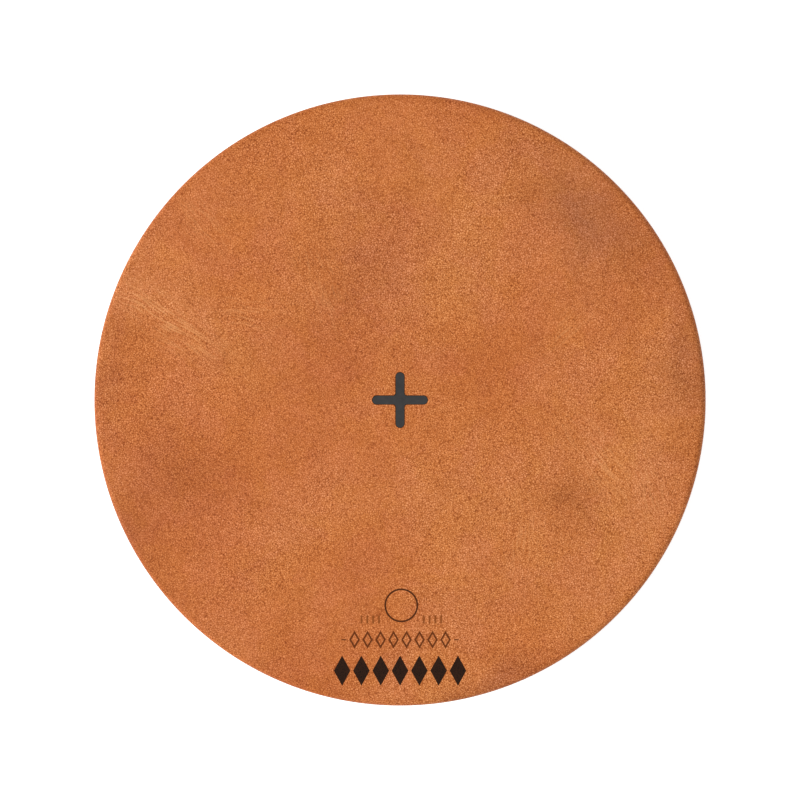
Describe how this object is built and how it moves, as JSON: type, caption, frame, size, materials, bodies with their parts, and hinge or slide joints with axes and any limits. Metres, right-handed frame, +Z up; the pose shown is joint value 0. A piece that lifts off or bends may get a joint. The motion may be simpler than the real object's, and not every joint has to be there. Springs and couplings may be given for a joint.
{
  "type": "wireless charging pad",
  "caption": "Thin round wireless charging pad with a tan leather top, a plain centring mark, a dark plastic base with a foot ring and a USB-C socket in its side.",
  "frame": {"origin": "middle of the foot ring's underside, on the table", "axes": "+Z up out of the leather face, +Y out of the USB-C socket, -Y towards the user, +X to the user's right"},
  "size_m": [0.1, 0.1, 0.0095],
  "materials": {
    "leather": "tan leather with a fine creased grain, satin",
    "silicone": "matt dark grey silicone",
    "clear_film": "thin clear adhesive film",
    "case_plastic": "fine-textured charcoal ABS",
    "copper_litz": null,
    "ferrite": "matt dark grey sintered ferrite",
    "amber_tape": "amber polyimide film",
    "foam": null,
    "circuit_board": "green solder mask over glass-epoxy",
    "zinc_steel": "zinc-plated steel",
    "stainless": "drawn stainless sheet",
    "black_epoxy": "black moulding compound",
    "red_insulation": "red wire insulation",
    "tan_ceramic": "tan chip-capacitor ceramic",
    "white_lens": "milky LED lens",
    "clear_plastic": "clear polycarbonate",
    "gap_filler": "pale blue thermal gap filler"
  },
  "bodies": {
    "root": {"base_shell": "case_plastic", "board_screw_1": "zinc_steel", "board_screw_2": "zinc_steel", "board_screw_3": "zinc_steel", "bridge_chip_1": "black_epoxy", "bridge_chip_2": "black_epoxy", "case_screw_1": "zinc_steel", "case_screw_2": "zinc_steel", "case_screw_3": "zinc_steel", "case_screw_4": "zinc_steel", "centre_mark": "silicone", "charging_coil": "copper_litz", "coil_foam": "foam", "coil_tape": "amber_tape", "controller_chip": "black_epoxy", "crystal": "stainless", "ferrite_disc": "ferrite", "foot_ring": "silicone", "glue_film": "clear_film", "input_capacitor_1": "tan_ceramic", "input_capacitor_2": "tan_ceramic", "leather_cover": "leather", "lid": "case_plastic", "light_pipe": "clear_plastic", "main_board": "circuit_board", "power_inductor": "ferrite", "resonance_capacitor_1": "tan_ceramic", "resonance_capacitor_2": "tan_ceramic", "resonance_capacitor_3": "tan_ceramic", "resonance_capacitor_4": "tan_ceramic", "status_led": "white_lens", "thermal_pad": "gap_filler", "thermistor_bead": "black_epoxy", "thermistor_wire_1": "red_insulation", "thermistor_wire_2": "black_epoxy", "usb_moulding": "black_epoxy", "usb_shell": "stainless"}
  },
  "joints": []
}
